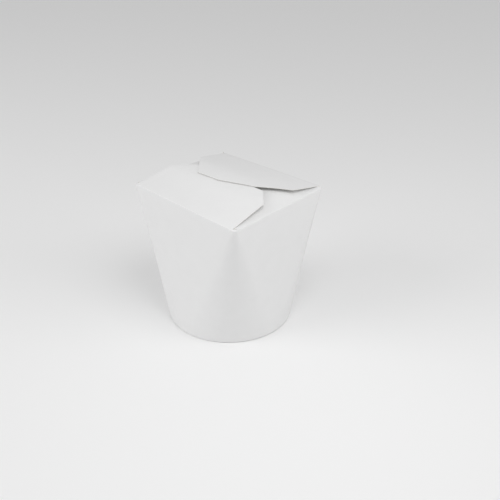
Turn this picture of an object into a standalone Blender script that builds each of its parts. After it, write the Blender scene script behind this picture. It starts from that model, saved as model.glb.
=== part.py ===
"""Closed noodle takeaway box: a round base that turns into a four-sided top, shut by four folded flaps.

Metres, +Z up. The origin is the bottom centre, where the foot rim's middle meets the table.
The long flaps hinge on the front (-Y) and back (+Y) creases, the short flaps on the -X and +X creases.
"""

import math

import bmesh
import bpy
from mathutils import Matrix, Vector

# Wall
BASE_RADIUS = 0.0453
TOP_LENGTH = 0.0985  # along X, the long flaps' creases
TOP_WIDTH = 0.0866  # along Y, the short flaps' creases
CREASE_HEIGHT = 0.100
WALL_DISH = 0.0004  # how far the wall is drawn in at half height
CORNER_RADIUS = 0.0010  # of the wall's corners where they meet the creases
CREASE_RADIUS = 0.0007  # of the fold between the wall and a flap
FOLD_START = 0.0008  # how far in from a crease a flap's solid starts
RIM_RADIUS = 0.0005  # round lower edge of the foot rim
WALL_RINGS = 14
CORNER_STEPS = 12

# Foot: the wall runs on below the base disc
RIM_THICKNESS = 0.0016
RECESS_DEPTH = 0.0036
DISC_THICKNESS = 0.0006
FIT_GAP = 0.0003
DISC_SEGMENTS = 96

# Flaps: slopes are rise over run, distances run from the crease
BOARD = 0.0005
OVERLAP = 0.0020  # how far the back flap's filling reaches over the front flap's edge
FRONT_SLOPE, FRONT_EDGE_SLOPE, FRONT_BEND, FRONT_REACH = 0.20, 0.05, 0.026, 0.0448
BACK_SLOPE, BACK_EDGE_SLOPE, BACK_BEND, BACK_REACH = 0.21, 0.00, 0.030, 0.0500
SHORT_SLOPE, SHORT_BEND, SHORT_CURL, SHORT_REACH = 0.18, 0.018, 60.0, 0.030
PROFILE_STEP = 0.003
ROOT_DEPTH = 0.0004  # how deep a flap's first edge lies under the crease's height
ARC_ANGLE = math.radians(12)
OUTLINE_MARGIN = 0.010  # how far a bent leaf runs past the outline that trims it
OUTLINE_DEPTH = 0.060

# Flap outlines seen from above, as (along the crease, from the crease, corner radius)
FRONT_OUTLINE = [
    (-0.0468, -0.0010, 0.0),
    (-0.0458, 0.0308, 0.0060),
    (-0.0315, 0.0448, 0.0060),
    (0.0325, 0.0448, 0.0060),
    (0.0456, 0.0322, 0.0060),
    (0.0460, -0.0010, 0.0),
]
BACK_OUTLINE = [
    (0.0450, -0.0010, 0.0),
    (0.0448, 0.0270, 0.0030),
    (0.0265, 0.0447, 0.0200),
    (0.0000, 0.0542, 0.0300),
    (-0.0200, 0.0560, 0.0050),
    (-0.0428, 0.0297, 0.0020),
    (-0.0440, -0.0010, 0.0),
]


def clear_scene():
    for obj in list(bpy.data.objects):
        bpy.data.objects.remove(obj, do_unlink=True)
    for collection in list(bpy.data.collections):
        bpy.data.collections.remove(collection)


def make_collection(name, hidden=False):
    collection = bpy.data.collections.new(name)
    collection.hide_render = hidden
    bpy.context.scene.collection.children.link(collection)
    return collection


def make_material(name, colour, roughness):
    material = bpy.data.materials.new(name)
    material.use_nodes = True
    shader = material.node_tree.nodes["Principled BSDF"]
    shader.inputs["Base Color"].default_value = (*colour, 1.0)
    shader.inputs["Roughness"].default_value = roughness
    shader.inputs["Metallic"].default_value = 0.0
    return material


def mesh_object(name, shape, collection):
    mesh = bpy.data.meshes.new(name)
    bmesh.ops.recalc_face_normals(shape, faces=shape.faces)
    shape.to_mesh(mesh)
    shape.free()
    obj = bpy.data.objects.new(name, mesh)
    collection.objects.link(obj)
    return obj


def as_helper(obj):
    obj.hide_render = True
    obj.display_type = "WIRE"
    return obj


def add_boolean(obj, other, operation):
    modifier = obj.modifiers.new(f"{operation.lower()} {other.name}", "BOOLEAN")
    modifier.operation = operation
    modifier.solver = "EXACT"
    modifier.object = other


def rounded_outline(corners):
    """Points of a closed outline whose corners are turned into arcs of their own radius."""
    points = []
    for index, (x, y, radius) in enumerate(corners):
        here = Vector((x, y))
        if radius == 0.0:
            points.append(here)
            continue
        before = (Vector(corners[index - 1][:2]) - here).normalized()
        after = (Vector(corners[(index + 1) % len(corners)][:2]) - here).normalized()
        half_angle = before.angle(after) / 2
        centre = here + (before + after).normalized() * (radius / math.sin(half_angle))
        start = here + before * (radius / math.tan(half_angle)) - centre
        turn = start.angle_signed(here + after * (radius / math.tan(half_angle)) - centre)
        steps = max(1, math.ceil(abs(turn) / ARC_ANGLE))
        for step in range(steps + 1):
            points.append(centre + Matrix.Rotation(-turn * step / steps, 2) @ start)
    return points


def prism(name, outline, depth, matrix, collection):
    """A flat outline extruded to both sides of its own plane, then placed by the matrix."""
    curve = bpy.data.curves.new(name, "CURVE")
    curve.dimensions = "2D"
    curve.fill_mode = "BOTH"
    curve.extrude = depth / 2
    spline = curve.splines.new("POLY")
    spline.points.add(len(outline) - 1)
    for point, (x, y) in zip(spline.points, outline):
        point.co = (x, y, 0.0, 1.0)
    spline.use_cyclic_u = True
    drawn = bpy.data.objects.new(name + " outline", curve)
    bpy.context.scene.collection.objects.link(drawn)
    bpy.context.view_layer.update()
    mesh = bpy.data.meshes.new_from_object(drawn.evaluated_get(bpy.context.evaluated_depsgraph_get()))
    bpy.data.objects.remove(drawn, do_unlink=True)
    shape = bmesh.new()
    shape.from_mesh(mesh)
    bpy.data.meshes.remove(mesh)
    bmesh.ops.remove_doubles(shape, verts=shape.verts, dist=0.000001)
    obj = as_helper(mesh_object(name, shape, collection))
    obj.matrix_world = matrix
    return obj


def bent_height(distance, slope, edge_slope, bend, reach):
    """Height of a flap that rises straight from its fold, then flattens from the bend on."""
    distance -= CREASE_RADIUS
    if distance <= bend:
        return slope * distance
    beyond = min(distance, reach) - bend
    fall = (slope - edge_slope) * beyond**2 / (2 * (reach - bend))
    return slope * (bend + beyond) - fall + edge_slope * max(0.0, distance - reach)


def front_height(distance):
    return bent_height(distance, FRONT_SLOPE, FRONT_EDGE_SLOPE, FRONT_BEND, FRONT_REACH)


def back_height(distance):
    return bent_height(distance, BACK_SLOPE, BACK_EDGE_SLOPE, BACK_BEND, BACK_REACH)


def short_height(distance):
    """A short flap rises from its fold, then curls up against the long flaps above it."""
    distance -= CREASE_RADIUS
    return SHORT_SLOPE * distance + SHORT_CURL * max(0.0, distance - SHORT_BEND) ** 2


def side_profile():
    """Places an outline drawn in (Y, height above the creases), to be extruded along X."""
    turn = Matrix(((0, 0, 1, 0), (1, 0, 0, 0), (0, 1, 0, 0), (0, 0, 0, 1)))
    return Matrix.Translation((0, 0, CREASE_HEIGHT)) @ turn


def front_profile():
    """Places an outline drawn in (X, height above the creases), to be extruded along Y."""
    return Matrix.Translation((0, 0, CREASE_HEIGHT)) @ Matrix.Rotation(math.pi / 2, 4, "X")


def stations(start, end):
    steps = math.ceil((end - start) / PROFILE_STEP)
    return [start + (end - start) * step / steps for step in range(steps + 1)]


def wall_section(height, inset=0.0):
    """The wall at one height: straight sides grow and the corners tighten on the way up."""
    rise = height / CREASE_HEIGHT
    inset += WALL_DISH * 4 * rise * (1 - rise)
    radius = BASE_RADIUS * (1 - rise) + CORNER_RADIUS * rise
    half_x = (TOP_LENGTH / 2 - CORNER_RADIUS) * rise
    half_y = (TOP_WIDTH / 2 - CORNER_RADIUS) * rise
    points = []
    for quarter in range(4):
        side_x = 1 if quarter in (0, 3) else -1
        side_y = 1 if quarter in (0, 1) else -1
        for step in range(CORNER_STEPS + 1):
            angle = math.pi / 2 * (quarter + step / CORNER_STEPS)
            reach = radius - inset
            x = side_x * half_x + reach * math.cos(angle)
            y = side_y * half_y + reach * math.sin(angle)
            points.append(Vector((x, y, height)))
    return points


def wall_rings():
    """Heights and insets of the wall's rings: a round lower edge, the straight wall, the rounded crease."""
    for step in range(3):
        angle = math.pi / 4 * step
        yield RIM_RADIUS * (1 - math.cos(angle)), RIM_RADIUS * (1 - math.sin(angle))
    top = CREASE_HEIGHT - CREASE_RADIUS
    for ring in range(1, WALL_RINGS):
        yield RIM_RADIUS + (top - RIM_RADIUS) * ring / WALL_RINGS, 0.0
    for step in range(4):
        angle = math.pi / 6 * step
        yield top + CREASE_RADIUS * math.sin(angle), CREASE_RADIUS * (1 - math.cos(angle))


def make_wall(collection):
    """The lofted wall, closed at both ends. It is solid: the closed box shows nothing of its inside."""
    shape = bmesh.new()
    rings = [[shape.verts.new(point) for point in wall_section(*ring)] for ring in wall_rings()]
    for lower, upper in zip(rings, rings[1:]):
        for index in range(len(lower)):
            after = (index + 1) % len(lower)
            shape.faces.new((lower[index], lower[after], upper[after], upper[index]))
    shape.faces.new(rings[0])
    shape.faces.new(rings[-1])
    bmesh.ops.remove_doubles(shape, verts=shape.verts, dist=0.000001)
    return mesh_object("carton", shape, collection)


def lid_bed(helpers):
    """What fills the lid under the flaps: the long flaps' arch, cut down to the short flaps at its ends."""
    half_width = TOP_WIDTH / 2
    half_length = TOP_LENGTH / 2
    sink = BOARD / 2
    edge = half_width - FOLD_START
    seam = FRONT_REACH - half_width - OVERLAP
    arch = [(edge, -ROOT_DEPTH), (-edge, -ROOT_DEPTH)]
    arch += [(y, front_height(y + half_width) - sink) for y in stations(-edge + PROFILE_STEP, seam)]
    arch += [(y, back_height(half_width - y) - sink) for y in stations(seam, edge - PROFILE_STEP)]
    bed = prism("lid bed", arch, TOP_LENGTH, side_profile(), helpers)

    rise = [(FOLD_START, -ROOT_DEPTH)] + [(s, short_height(s)) for s in stations(2 * FOLD_START, SHORT_REACH)]
    ends = [(s - half_length, z) for s, z in rise] + [(half_length - s, z) for s, z in reversed(rise)]
    add_boolean(bed, prism("short flap rise", ends, TOP_WIDTH, front_profile(), helpers), "INTERSECT")
    return bed


def long_flap(name, outline, height_at, side, helpers):
    """A bent leaf of board with the given outline, hinged on the crease at this side of the box."""
    half_width = TOP_WIDTH / 2
    reach = max(point[1] for point in outline) + OUTLINE_MARGIN / 2
    distances = stations(2 * FOLD_START, reach)
    leaf = [(FOLD_START, -ROOT_DEPTH)] + [(t, height_at(t)) for t in distances]
    leaf += [(t, height_at(t) - BOARD) for t in reversed(distances)]
    leaf = [(side * (half_width - t), z) for t, z in leaf]
    flap = prism(name, leaf, TOP_LENGTH + OUTLINE_MARGIN, side_profile(), helpers)
    corners = [(x, side * (half_width - t), radius) for x, t, radius in outline]
    height = Matrix.Translation((0, 0, CREASE_HEIGHT))
    add_boolean(flap, prism(name + " outline", rounded_outline(corners), OUTLINE_DEPTH, height, helpers), "INTERSECT")
    return flap


def make_disc(name, radius, low, high, collection):
    shape = bmesh.new()
    bmesh.ops.create_cone(
        shape,
        cap_ends=True,
        segments=DISC_SEGMENTS,
        radius1=radius,
        radius2=radius,
        depth=high - low,
        matrix=Matrix.Translation((0, 0, (low + high) / 2)),
    )
    return mesh_object(name, shape, collection)


def shade(obj, material):
    obj.data.materials.append(material)
    obj.data.shade_smooth()
    obj.data.set_sharp_from_angle(angle=math.radians(25))


def main():
    clear_scene()
    box = make_collection("noodle takeaway box")
    helpers = make_collection("cutters", hidden=True)

    carton = make_wall(box)
    add_boolean(carton, lid_bed(helpers), "UNION")
    add_boolean(carton, long_flap("front flap", FRONT_OUTLINE, front_height, -1, helpers), "UNION")
    add_boolean(carton, long_flap("back flap", BACK_OUTLINE, back_height, 1, helpers), "UNION")

    recess_top = RECESS_DEPTH + DISC_THICKNESS + FIT_GAP
    recess = make_disc("foot recess", BASE_RADIUS - RIM_THICKNESS, -RECESS_DEPTH, recess_top, helpers)
    add_boolean(carton, as_helper(recess), "DIFFERENCE")
    disc_radius = BASE_RADIUS - RIM_THICKNESS - FIT_GAP
    disc = make_disc("base_disc", disc_radius, RECESS_DEPTH, RECESS_DEPTH + DISC_THICKNESS, box)

    shade(carton, make_material("coated white board", (0.80, 0.80, 0.80), 0.55))
    shade(disc, make_material("plain white board", (0.74, 0.74, 0.73), 0.65))


main()
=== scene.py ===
import bmesh
import bpy
import math
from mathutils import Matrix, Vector


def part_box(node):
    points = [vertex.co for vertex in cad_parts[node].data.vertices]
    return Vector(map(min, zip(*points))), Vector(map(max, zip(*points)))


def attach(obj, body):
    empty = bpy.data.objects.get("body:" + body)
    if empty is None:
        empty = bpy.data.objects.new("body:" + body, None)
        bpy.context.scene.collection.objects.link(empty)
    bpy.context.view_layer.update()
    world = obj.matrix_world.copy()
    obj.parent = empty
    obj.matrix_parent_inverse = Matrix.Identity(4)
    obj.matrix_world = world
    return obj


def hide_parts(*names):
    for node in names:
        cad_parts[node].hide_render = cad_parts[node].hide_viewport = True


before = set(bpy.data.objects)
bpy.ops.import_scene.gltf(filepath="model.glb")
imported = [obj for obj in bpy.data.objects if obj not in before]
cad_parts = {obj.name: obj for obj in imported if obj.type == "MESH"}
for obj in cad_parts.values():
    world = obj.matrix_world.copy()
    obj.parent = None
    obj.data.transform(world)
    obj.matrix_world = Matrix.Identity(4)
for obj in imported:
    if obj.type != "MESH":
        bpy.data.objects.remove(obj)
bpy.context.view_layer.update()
bodyLow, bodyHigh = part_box("carton")
print("frame loaded:", sorted(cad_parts))

up = Vector((0, 0, 1))
tiny = 0.00002  # tolerance when vertices are picked by their place


def colour(code):
    # sRGB hex to linear, as the shader wants it
    parts = [int(code[i:i + 2], 16) / 255 for i in (0, 2, 4)]
    linear = [p / 12.92 if p <= 0.04045 else ((p + 0.055) / 1.055) ** 2.4 for p in parts]
    return (*linear, 1.0)


def addNode(tree, kind, settings=None, links=None, values=None):
    # one node with its settings, its unlinked values, and links given as {input: (node, output)}
    node = tree.nodes.new(kind)
    for name, value in (settings or {}).items():
        setattr(node, name, value)
    for name, value in (values or {}).items():
        node.inputs[name].default_value = value
    for name, (source, output) in (links or {}).items():
        tree.links.new(source.outputs[output], node.inputs[name])
    return node


def newMaterial(name):
    material = bpy.data.materials.new(name)
    material.use_nodes = True
    tree = material.node_tree
    return material, tree, tree.nodes["Principled BSDF"]


# Clay-coated solid bleached board, calendered: a near-white face with a soft satin sheen,
# a faint cloudiness from the fibres under the coat and a very slight tooth
coatedBoard = {
    "face": "e9e9e9",
    "cloud": "e5e5e5",  # where the fibres lie thicker
    "roughness": 0.46,
    "ior": 1.5,
    "cloudSize": 0.009,
    "toothSize": 0.0006,  # real fibre tooth is about 0.05 mm; drawn coarser so that it shows at all
    "toothDepth": 0.00001,
}


def makeCoatedBoard():
    material, tree, shader = newMaterial("claycoated_board")
    place = addNode(tree, "ShaderNodeTexCoord")
    cloud = addNode(tree, "ShaderNodeTexNoise", links={"Vector": (place, "Object")},
                    values={"Scale": 1 / coatedBoard["cloudSize"], "Detail": 5.0, "Roughness": 0.6})
    mix = addNode(tree, "ShaderNodeMix", {"data_type": "RGBA"}, {"Factor": (cloud, "Fac")})
    mix.inputs["A"].default_value = colour(coatedBoard["face"])
    mix.inputs["B"].default_value = colour(coatedBoard["cloud"])
    tree.links.new(mix.outputs["Result"], shader.inputs["Base Color"])
    tooth = addNode(tree, "ShaderNodeTexNoise", links={"Vector": (place, "Object")},
                    values={"Scale": 1 / coatedBoard["toothSize"], "Detail": 3.0, "Roughness": 0.55})
    bump = addNode(tree, "ShaderNodeBump", links={"Height": (tooth, "Fac")},
                   values={"Strength": 1.0, "Distance": coatedBoard["toothDepth"]})
    tree.links.new(bump.outputs["Normal"], shader.inputs["Normal"])
    shader.inputs["Roughness"].default_value = coatedBoard["roughness"]
    shader.inputs["IOR"].default_value = coatedBoard["ior"]
    return material


# Uncoated bleached board, die-cut: matt, a shade warmer and duller than the coated face
rawBoard = {
    "face": "e6e5e2",
    "fibre": "dcdbd7",
    "roughness": 0.85,
    "ior": 1.5,
    "fibreSize": 0.0010,
    "fibreDepth": 0.00003,
    "fibreStrength": 0.6,
}


def makeRawBoard(name):
    material, tree, shader = newMaterial(name)
    place = addNode(tree, "ShaderNodeTexCoord")
    fibre = addNode(tree, "ShaderNodeTexNoise", links={"Vector": (place, "Object")},
                    values={"Scale": 1 / rawBoard["fibreSize"], "Detail": 4.0, "Roughness": 0.6})
    mix = addNode(tree, "ShaderNodeMix", {"data_type": "RGBA"}, {"Factor": (fibre, "Fac")})
    mix.inputs["A"].default_value = colour(rawBoard["face"])
    mix.inputs["B"].default_value = colour(rawBoard["fibre"])
    tree.links.new(mix.outputs["Result"], shader.inputs["Base Color"])
    bump = addNode(tree, "ShaderNodeBump", links={"Height": (fibre, "Fac")},
                   values={"Strength": rawBoard["fibreStrength"], "Distance": rawBoard["fibreDepth"]})
    tree.links.new(bump.outputs["Normal"], shader.inputs["Normal"])
    shader.inputs["Roughness"].default_value = rawBoard["roughness"]
    shader.inputs["IOR"].default_value = rawBoard["ior"]
    return material


coatedFace = makeCoatedBoard()
cutEdge = makeRawBoard("diecut_uncoated_board")
basePaper = makeRawBoard("uncoated_base_board")
print("materials made")


def deselectAll():
    bpy.ops.object.select_all(action="DESELECT")


def pick(piece, kind, test):
    # in edit mode: selects the vertices, edges or faces that pass the test, and nothing else
    bpy.ops.mesh.select_mode(type=kind)
    bpy.ops.mesh.select_all(action="DESELECT")
    shape = bmesh.from_edit_mesh(piece.data)
    found = 0
    for part in {"VERT": shape.verts, "EDGE": shape.edges, "FACE": shape.faces}[kind]:
        if not part.hide and test(part):
            part.select_set(True)
            found += 1
    shape.select_flush_mode()
    bmesh.update_edit_mesh(piece.data)
    return found


def applyModifiers(piece):
    bpy.context.view_layer.objects.active = piece
    for modifier in list(piece.modifiers):
        bpy.ops.object.modifier_apply(modifier=modifier.name)


carton = {
    "topWidth": 0.0866,  # between the long flaps' creases
    "creaseHeight": 0.1000,
    "board": 0.00045,
    "foldRadius": 0.0008,  # of the creases, to the outer face
    "foldSteps": 6,
    "smoothAngle": math.radians(32),  # sharper bends than this stay crisp
    "cornerRadius": 0.0030,  # of the wall's corners, just below the creases
    "cornerSteps": 19,  # columns round each corner
    "gussetRadius": 0.0008,  # of the fold inside each corner, under the flaps
    "columns": 48,  # columns across each flat side
    "rings": 36,
    "hemRadius": 0.0008,  # the rolled foot rim
    "hemHeight": 0.0033,
    "hemSteps": 8,
    "seamAt": 0.012,  # side seam on the back wall
    "seamWidth": 0.009,
    "seamStep": 0.00030,
    # how far each top corner stands above (+) or below the creases' height, by the signs of its X and Y
    "cornerLift": {(-1, -1): 0.0010, (1, -1): -0.0010, (1, 1): 0.0010, (-1, 1): -0.0018},
    "dish": 0.0004,  # how far the wall is drawn in at half height
    "wave": 0.00025,  # how uneven the board is
    "waveSize": 0.030,
}
creaseStart = carton["creaseHeight"] - carton["foldRadius"]
clearance = 0.0001  # keeps the creases inside the frame's box
halfLength = (bodyHigh.x - bodyLow.x) / 2 - clearance
halfWidth = carton["topWidth"] / 2
baseRadius = (bodyHigh.y - bodyLow.y) / 2

# each flap: which way its crease faces, how far it rises, and its outline as
# (along the crease, in from the crease, corner radius), from the left end round to the right.
# "lift" is how far the board is pushed up from its plain bend, in rows from the crease inward
# and, within a row, from the left end of the crease to the right
flaps = {
    "front": {
        "outward": Vector((0, -1, 0)), "rows": 18,
        "slope": 0.20, "edgeSlope": 0.05, "bend": 0.026, "reach": 0.0448,
        "outline": [(-0.0468, -0.0010, 0), (-0.0460, 0.0308, 0.0120), (-0.0315, 0.0448, 0.0100),
                    (0.0330, 0.0448, 0.0060), (0.0460, 0.0322, 0.0060), (0.0462, -0.0010, 0)],
        "lift": [(0, 0, 0, 0, 0),
                 (0.0002, 0, 0, 0, 0),
                 (0.0008, 0.0011, 0.0012, 0.0004, -0.0003),
                 (0.0002, 0.0003, 0.0002, 0.0000, -0.0004)],
    },
    "back": {
        "outward": Vector((0, 1, 0)), "rows": 22,
        "slope": 0.21, "edgeSlope": 0.00, "bend": 0.030, "reach": 0.0500,
        "outline": [(-0.0464, -0.0010, 0), (-0.0448, 0.0270, 0.0030), (-0.0265, 0.0447, 0.0200),
                    (0.0000, 0.0542, 0.0300), (0.0200, 0.0560, 0.0050), (0.0428, 0.0297, 0.0020),
                    (0.0464, -0.0010, 0)],
        "lift": [(0, 0, 0, 0, 0),
                 (0, 0, 0, 0, 0),
                 (0, 0, 0, 0, 0),
                 (0, 0, 0, -0.0002, -0.0002)],
    },
    "right": {
        "outward": Vector((1, 0, 0)), "rows": 16,
        "slope": 0.32, "edgeSlope": 0.12, "bend": 0.004, "reach": 0.0200,
        "outline": [(-0.0405, -0.0010, 0), (-0.0400, 0.0040, 0), (-0.0160, 0.0320, 0.0060),
                    (0.0160, 0.0320, 0.0060), (0.0400, 0.0040, 0), (0.0405, -0.0010, 0)],
        "lift": [(0, 0, 0, 0, 0),
                 (-0.0032, 0.0000, 0.0006, 0.0001, -0.0032),
                 (-0.0047, -0.0012, 0.0002, -0.0010, -0.0047),
                 (-0.0050, -0.0016, 0, -0.0016, -0.0050)],
    },
    "left": {
        "outward": Vector((-1, 0, 0)), "rows": 16,
        "slope": 0.30, "edgeSlope": 0.10, "bend": 0.004, "reach": 0.0200,
        "outline": [(-0.0405, -0.0010, 0), (-0.0400, 0.0040, 0), (-0.0160, 0.0320, 0.0060),
                    (0.0160, 0.0320, 0.0060), (0.0400, 0.0040, 0), (0.0405, -0.0010, 0)],
        "lift": [(0, 0, 0, 0, 0),
                 (-0.0030, -0.0002, 0.0004, 0.0001, -0.0030),
                 (-0.0045, -0.0012, 0.0002, -0.0012, -0.0045),
                 (-0.0050, -0.0018, 0, -0.0018, -0.0050)],
    },
}
arcStep = math.radians(10)  # of a flap's rounded corner, for each straight piece
leafSpare = 0.0005  # how much longer a flap's leaf is than its outline, before the trim
cageHeight = 0.040  # of the lattices that push the flaps


def roundedOutline(corners):
    # the outline's points, with each corner turned into an arc of its own radius
    points = []
    for index, (along, into, radius) in enumerate(corners):
        here = Vector((along, into))
        if radius == 0:
            points.append(here)
            continue
        before = (Vector(corners[index - 1][:2]) - here).normalized()
        after = (Vector(corners[index + 1][:2]) - here).normalized()
        middle = (before + after).normalized()
        halfAngle = before.angle(after) / 2
        centre = here + middle * radius / math.sin(halfAngle)
        spread = math.pi / 2 - halfAngle  # half the angle that the arc turns through
        steps = max(1, math.ceil(2 * spread / arcStep))
        side = 1 if before.cross(after) > 0 else -1
        for step in range(steps + 1):
            turn = side * spread * (2 * step / steps - 1)
            cosTurn, sinTurn = math.cos(turn), math.sin(turn)
            away = -middle
            spoke = Vector((away.x * cosTurn - away.y * sinTurn, away.x * sinTurn + away.y * cosTurn))
            points.append(centre + spoke * radius)
    return points


def makeWall():
    # a rounded rectangle above and a circle below, bridged: flat sides that grow, corners that tighten
    deselectAll()
    perCorner = carton["cornerSteps"]
    bpy.ops.mesh.primitive_plane_add(size=1, location=(0, 0, 0))
    wall = bpy.context.object
    wall.name = "folded_carton"
    bpy.ops.object.mode_set(mode="EDIT")
    bpy.ops.transform.resize(value=(2 * halfLength, 2 * halfWidth, 1))
    bpy.ops.transform.translate(value=(0, 0, creaseStart))
    bpy.ops.mesh.bevel(offset=carton["cornerRadius"], offset_type="OFFSET", segments=perCorner,
                       profile=0.5, affect="VERTICES")
    bpy.ops.mesh.select_all(action="SELECT")
    bpy.ops.mesh.delete(type="ONLY_FACE")
    around = 4 * (perCorner + 1)
    bpy.ops.mesh.primitive_circle_add(vertices=around, radius=baseRadius,
                                      location=(0, 0, carton["hemRadius"]),
                                      rotation=(0, 0, math.pi / around))
    bpy.ops.mesh.select_all(action="SELECT")
    bpy.ops.mesh.bridge_edge_loops(number_cuts=carton["rings"] - 1, interpolation="LINEAR")

    def runsAcross(edge):
        # a ring's edge on one of the four flat sides
        run = edge.verts[1].co - edge.verts[0].co
        return abs(run.z) < tiny / 10 and min(abs(run.x), abs(run.y)) < tiny / 10

    pick(wall, "EDGE", runsAcross)
    bpy.ops.mesh.subdivide(number_cuts=carton["columns"] - 1)
    bpy.ops.mesh.select_all(action="SELECT")
    bpy.ops.mesh.normals_make_consistent(inside=False)
    return wall


def rollHem(wall):
    # the wall's lower edge turns in and up, round the edge of the base disc
    radius = carton["hemRadius"]
    pick(wall, "EDGE", lambda edge: edge.is_boundary and edge.verts[0].co.z < creaseStart / 2)
    turns = [math.pi * step / carton["hemSteps"] for step in range(carton["hemSteps"] + 1)]
    profile = [(baseRadius - radius + radius * math.cos(turn), radius - radius * math.sin(turn))
               for turn in turns]
    profile += [(profile[-1][0], radius + (carton["hemHeight"] - radius) * step / 3) for step in (1, 2, 3)]
    for (radiusBefore, heightBefore), (radiusAfter, heightAfter) in zip(profile, profile[1:]):
        bpy.ops.mesh.extrude_edges_move()
        scale = radiusAfter / radiusBefore
        bpy.ops.transform.resize(value=(scale, scale, 1), center_override=(0, 0, 0))
        bpy.ops.transform.translate(value=(0, 0, heightAfter - heightBefore))


def raiseSeam(wall):
    # the wall's glued overlap: one edge of the board shows as a step, the other side runs out smoothly
    near, far = carton["seamAt"], carton["seamAt"] + carton["seamWidth"]
    lift = carton["seamStep"]

    def onBackWall(face):
        centre = face.calc_center_median()
        return face.normal.y > 0.5 and carton["hemRadius"] < centre.z < creaseStart

    for place in (near, far):
        pick(wall, "FACE", onBackWall)
        bpy.ops.mesh.bisect(plane_co=(place, 0, 0), plane_no=(1, 0, 0))
    pick(wall, "FACE", lambda face: onBackWall(face) and near < face.calc_center_median().x < far)
    bpy.ops.mesh.extrude_region_move(TRANSFORM_OT_translate={"value": (0, lift, 0)})
    shape = bmesh.from_edit_mesh(wall.data)
    raised = {vert for vert in shape.verts if vert.select}
    pick(wall, "VERT", lambda vert: vert in raised and abs(vert.co.x - far) < tiny)
    bpy.ops.transform.translate(value=(0, -lift, 0))
    pick(wall, "VERT", lambda vert: vert.co.y > 0 and abs(vert.co.x - far) < tiny)
    bpy.ops.mesh.remove_doubles(threshold=tiny / 4)


def foldFlap(wall, name):
    # the crease is spun over, the leaf is extruded row by row along its bend, then trimmed to its outline
    flap = flaps[name]
    outward = flap["outward"]
    inward = -outward
    along = outward.cross(up)
    crease = halfWidth if abs(outward.y) > 0 else halfLength
    radius = carton["foldRadius"]

    def onCrease(edge):
        a, b = (vert.co for vert in edge.verts)
        return (edge.is_boundary and min(a.z, b.z) > creaseStart - tiny
                and all(abs(p.dot(outward) - crease) < tiny / 10 for p in (a, b)))

    pick(wall, "EDGE", onCrease)
    rise = math.atan(flap["slope"])
    bpy.ops.mesh.spin(steps=carton["foldSteps"], angle=rise - math.pi / 2, axis=along,
                      center=outward * (crease - radius) + up * creaseStart)
    distance = radius * (1 - math.sin(rise))
    leafStart = creaseStart + radius * math.cos(rise)  # the outline trims the leaf, not its fold
    longest = max(point[1] for point in flap["outline"]) + leafSpare
    step = (longest - distance) / flap["rows"]
    for _ in range(flap["rows"]):
        bent = (distance + step / 2 - flap["bend"]) / (flap["reach"] - flap["bend"])
        slope = flap["slope"] + (flap["edgeSlope"] - flap["slope"]) * min(1, max(0, bent))
        move = inward * step + up * slope * step
        bpy.ops.mesh.extrude_edges_move(TRANSFORM_OT_translate={"value": move})
        distance += step

    points = [outward * (crease - point.y) - along * point.x for point in roundedOutline(flap["outline"])]
    middle = outward * crease / 2
    for start, end in zip(points, points[1:]):
        normal = (end - start).cross(up).normalized()
        if normal.dot(middle - start) > 0:
            normal = -normal
        pick(wall, "FACE", lambda face: face.calc_center_median().z > leafStart)
        bpy.ops.mesh.bisect(plane_co=start, plane_no=normal)
        if pick(wall, "FACE", lambda face: face.calc_center_median().z > leafStart
                and (face.calc_center_median() - start).dot(normal) > 0):
            bpy.ops.mesh.delete(type="FACE")
    pick(wall, "FACE", lambda face: face.calc_center_median().z > creaseStart + tiny)
    bpy.ops.object.vertex_group_add()
    wall.vertex_groups.active.name = name
    bpy.ops.object.vertex_group_assign()
    bpy.ops.mesh.hide()


def closeCorners(wall):
    # between two flaps the wall's rounded corner folds in under them and meets at a point
    radius = carton["gussetRadius"]
    turns = [math.radians(18 * step) for step in range(6)]
    profile = [(radius * (1 - math.cos(turn)), radius * math.sin(turn)) for turn in turns]
    profile += [(carton["cornerRadius"] * share, radius) for share in (0.55, 0.8, 1.0)]

    def isOpenTop(edge):
        return edge.is_boundary and min(vert.co.z for vert in edge.verts) > creaseStart - tiny

    pick(wall, "EDGE", isOpenTop)
    shape = bmesh.from_edit_mesh(wall.data)
    openEdges = [edge for edge in shape.edges if edge.select]
    corners = {(x, y): [edge.index for edge in openEdges
                        if edge.verts[0].co.x * x > 0 and edge.verts[0].co.y * y > 0]
               for x in (-1, 1) for y in (-1, 1)}
    for (x, y), indices in corners.items():
        pick(wall, "EDGE", lambda edge: isOpenTop(edge) and edge.index in indices)
        middle = Vector((x * (halfLength - carton["cornerRadius"]),
                         y * (halfWidth - carton["cornerRadius"]), 0))
        for (insetBefore, riseBefore), (insetAfter, riseAfter) in zip(profile, profile[1:]):
            bpy.ops.mesh.extrude_edges_move()
            left = (carton["cornerRadius"] - insetAfter) / (carton["cornerRadius"] - insetBefore)
            bpy.ops.transform.resize(value=(left, left, 1), center_override=middle)
            bpy.ops.transform.translate(value=(0, 0, riseAfter - riseBefore))


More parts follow.
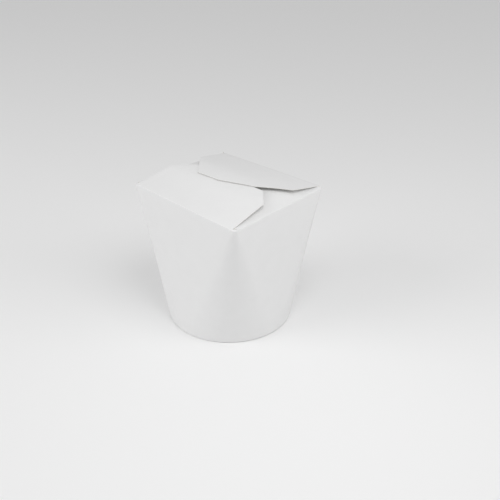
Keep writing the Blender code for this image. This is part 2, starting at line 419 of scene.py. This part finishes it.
def pushFlap(piece, name):
    # a lattice over one flap pushes its board up or down by the flap's table of lifts
    flap = flaps[name]
    outward = flap["outward"]
    crease, halfSpan = (halfWidth, halfLength) if abs(outward.y) > 0 else (halfLength, halfWidth)
    depth = max(point[1] for point in flap["outline"])
    rows = flap["lift"]
    deselectAll()
    bpy.ops.object.add(type="LATTICE", location=outward * (crease - depth / 2) + up * carton["creaseHeight"])
    cage = bpy.context.object
    cage.data.points_u, cage.data.points_v, cage.data.points_w = len(rows[0]), len(rows), 2
    cage.data.interpolation_type_u = cage.data.interpolation_type_v = "KEY_CATMULL_ROM"
    cage.scale = (2 * halfSpan, depth, cageHeight)
    cage.rotation_euler.z = math.atan2(-outward.y, -outward.x) - math.pi / 2
    for index, point in enumerate(cage.data.points):
        column, row = index % len(rows[0]), index // len(rows[0]) % len(rows)
        point.co_deform = point.co_deform + up * rows[row][column] / cage.scale.z
    bpy.context.view_layer.update()
    push = piece.modifiers.new("push " + name, "LATTICE")
    push.object = cage
    push.vertex_group = name
    applyModifiers(piece)
    bpy.data.objects.remove(cage)


def bendCarton(piece):
    # a lattice lifts or lowers the top's corners and draws the wall in at half height,
    # and a cloud texture makes the board uneven
    deselectAll()
    bpy.ops.object.add(type="LATTICE", location=(0, 0, carton["creaseHeight"] / 2))
    cage = bpy.context.object
    cage.data.points_u, cage.data.points_v, cage.data.points_w = 2, 2, 3
    cage.data.interpolation_type_u = cage.data.interpolation_type_v = "KEY_LINEAR"
    cage.data.interpolation_type_w = "KEY_CATMULL_ROM"
    cage.scale = (2 * halfLength, 2 * halfWidth, carton["creaseHeight"])
    narrower = 1 - carton["dish"] / halfLength
    flatter = 1 - carton["dish"] / halfWidth
    for point in cage.data.points:
        here = point.co_deform.copy()
        if abs(here.z) < tiny:
            point.co_deform = (here.x * narrower, here.y * flatter, 0)
        elif here.z > 0:
            corner = (1 if here.x > 0 else -1, 1 if here.y > 0 else -1)
            point.co_deform = (here.x, here.y, here.z + carton["cornerLift"][corner] / carton["creaseHeight"])
    bpy.context.view_layer.update()
    bend = piece.modifiers.new("bend", "LATTICE")
    bend.object = cage
    cloud = bpy.data.textures.new("uneven board", "CLOUDS")
    cloud.noise_scale = carton["waveSize"]
    cloud.noise_depth = 1
    wave = piece.modifiers.new("wave", "DISPLACE")
    wave.texture = cloud
    wave.texture_coords = "LOCAL"
    wave.strength = carton["wave"]
    wave.mid_level = 1.0
    applyModifiers(piece)
    bpy.data.objects.remove(cage)


def thicken(piece):
    board = piece.modifiers.new("board", "SOLIDIFY")
    board.thickness = carton["board"]
    board.offset = -1
    board.use_even_offset = True
    board.material_offset = 1
    board.material_offset_rim = 1
    applyModifiers(piece)


def makeCarton():
    piece = makeWall()
    rollHem(piece)
    print("wall made")
    for name in ("front", "back", "right", "left"):
        foldFlap(piece, name)
        print("flap folded:", name)
    closeCorners(piece)
    bpy.ops.mesh.reveal()
    raiseSeam(piece)
    bpy.ops.object.mode_set(mode="OBJECT")
    piece.data.materials.append(coatedFace)
    piece.data.materials.append(cutEdge)
    for name in flaps:
        pushFlap(piece, name)
    bendCarton(piece)
    deselectAll()
    piece.select_set(True)
    bpy.context.view_layer.objects.active = piece
    thicken(piece)
    bpy.ops.object.shade_smooth_by_angle(angle=carton["smoothAngle"])
    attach(piece, "root")
    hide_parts("carton")
    return piece


foldedCarton = makeCarton()
print("carton made:", len(foldedCarton.data.polygons), "faces")

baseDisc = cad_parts["base_disc"]
baseDisc.data.materials.clear()
baseDisc.data.materials.append(basePaper)


studio = {
    "floorSize": 8.0,
    "floor": "f6f6f6",
    "floorRoughness": 0.9,
    "world": 0.56,
    "lampAim": Vector((0, 0, 0.06)),
    # each lamp: degrees round from the front, degrees above the floor, distance, width, watts
    "lamps": {"left lamp": (-28, 25, 1.2, 0.8, 3.9), "right lamp": (112, 25, 1.2, 0.8, 2.2),
              "top lamp": (72, 60, 0.4, 0.25, 0.40)},
}


def direction(turn, lift):
    # from the object outwards: turned round from the front, lifted above the floor
    return Vector((math.sin(turn) * math.cos(lift), -math.cos(turn) * math.cos(lift), math.sin(lift)))


def makeStudio():
    deselectAll()
    bpy.ops.mesh.primitive_plane_add(size=studio["floorSize"], location=(0, 0, 0))
    floor = bpy.context.object
    floor.name = "floor"
    material, _, shader = newMaterial("matt_white_paint")
    shader.inputs["Base Color"].default_value = colour(studio["floor"])
    shader.inputs["Roughness"].default_value = studio["floorRoughness"]
    floor.data.materials.append(material)
    world = bpy.data.worlds.new("studio")
    bpy.context.scene.world = world
    world.use_nodes = True
    world.node_tree.nodes["Background"].inputs["Color"].default_value = (1, 1, 1, 1)
    world.node_tree.nodes["Background"].inputs["Strength"].default_value = studio["world"]
    for name, (turn, lift, distance, width, power) in studio["lamps"].items():
        toLamp = direction(math.radians(turn), math.radians(lift))
        bpy.ops.object.light_add(type="AREA", location=studio["lampAim"] + toLamp * distance)
        lamp = bpy.context.object
        lamp.name = name
        lamp.data.shape = "DISK"
        lamp.data.size = width
        lamp.data.energy = power
        lamp.rotation_euler = (-toLamp).to_track_quat("-Z", "Y").to_euler()


cameraView = {
    "place": Vector((0.35815, -0.35020, 0.33191)),
    "azimuth": math.radians(43.95),
    "elevation": math.radians(29.44),
    "lens": 57.6,
    "sensor": 36,
}


def makeCamera():
    data = bpy.data.cameras.new("camera")
    camera = bpy.data.objects.new("camera", data)
    bpy.context.scene.collection.objects.link(camera)
    data.lens = cameraView["lens"]
    data.sensor_width = cameraView["sensor"]
    back = direction(cameraView["azimuth"], cameraView["elevation"])
    camera.location = cameraView["place"]
    camera.rotation_euler = (-back).to_track_quat("-Z", "Y").to_euler()
    bpy.context.scene.camera = camera


makeStudio()
makeCamera()
bpy.context.scene.view_settings.view_transform = "Standard"
print("studio and camera made")
